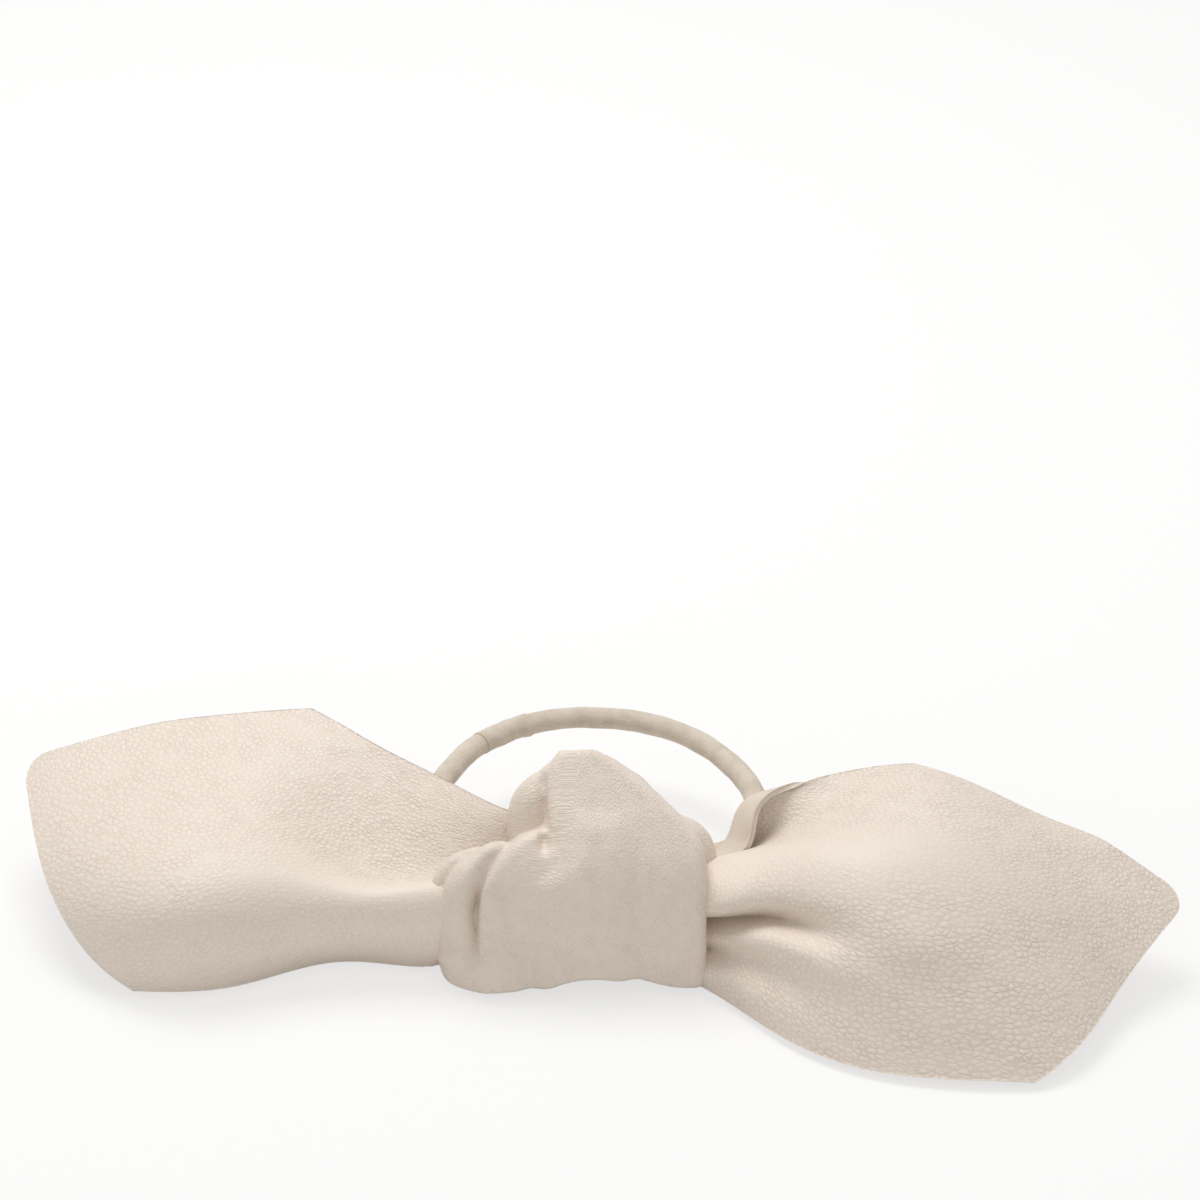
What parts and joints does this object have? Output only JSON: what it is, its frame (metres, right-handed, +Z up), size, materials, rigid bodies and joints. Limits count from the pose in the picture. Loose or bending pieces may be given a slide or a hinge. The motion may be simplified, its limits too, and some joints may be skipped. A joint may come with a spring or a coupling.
{
  "type": "knotted leather bow hair tie",
  "caption": "Soft leather strip with pointed ends, tied in an overhand knot round a covered elastic ring that swings and stretches.",
  "frame": {"origin": "on the knot's flat underside, at the middle of the knot", "axes": "+X along the bow to the right, +Y back towards the elastic ring, +Z up"},
  "size_m": [0.2065, 0.0923, 0.036],
  "materials": {
    "leather": "soft pebbled lambskin, cream",
    "cover": "thin suede, matte",
    "elastic": "plain elastic cord",
    "glue": "dried glue"
  },
  "bodies": {
    "knot": {"knot_pack": "leather", "front_band": "leather", "left_turn": "leather", "top_tuck": "leather", "ring_loop": "leather", "left_neck": "leather", "right_neck": "leather"},
    "left_tail": {"left_tail": "leather"},
    "right_tail": {"right_tail": "leather"},
    "ring_front": {"cover_front": "cover", "core_front_left": "elastic", "core_front_right": "elastic", "core_joint": "glue"},
    "ring_back": {"cover_back": "cover", "cover_lap": "cover", "core_back": "elastic", "cover_left": "cover", "cover_right": "cover", "core_left": "elastic", "core_right": "elastic"}
  },
  "joints": [
    {"name": "left_tail_flex", "type": "hinge", "parent": "knot", "child": "left_tail", "pos_m": [-0.027, 0, 0.011], "axis": [0, 1, 0], "range_deg": [-10, 30], "stiffness_Nm_per_rad": 0.05, "springref_deg": 1.72, "deforming": ["left_neck"]},
    {"name": "right_tail_flex", "type": "hinge", "parent": "knot", "child": "right_tail", "pos_m": [0.027, 0, 0.011], "axis": [0, -1, 0], "range_deg": [-10, 30], "stiffness_Nm_per_rad": 0.05, "springref_deg": 1.72, "deforming": ["right_neck"]},
    {"name": "ring_swing", "type": "hinge", "parent": "knot", "child": "ring_front", "pos_m": [0.003, 0.00805, 0.013], "axis": [1, 0, 0], "range_deg": [-90, 12]},
    {"name": "elastic_stretch", "type": "slide", "parent": "ring_front", "child": "ring_back", "axis": [0, 1, 0], "range_m": [0, 0.045], "stiffness_N_per_m": 60, "deforming": ["cover_left", "cover_right", "core_left", "core_right"]}
  ]
}
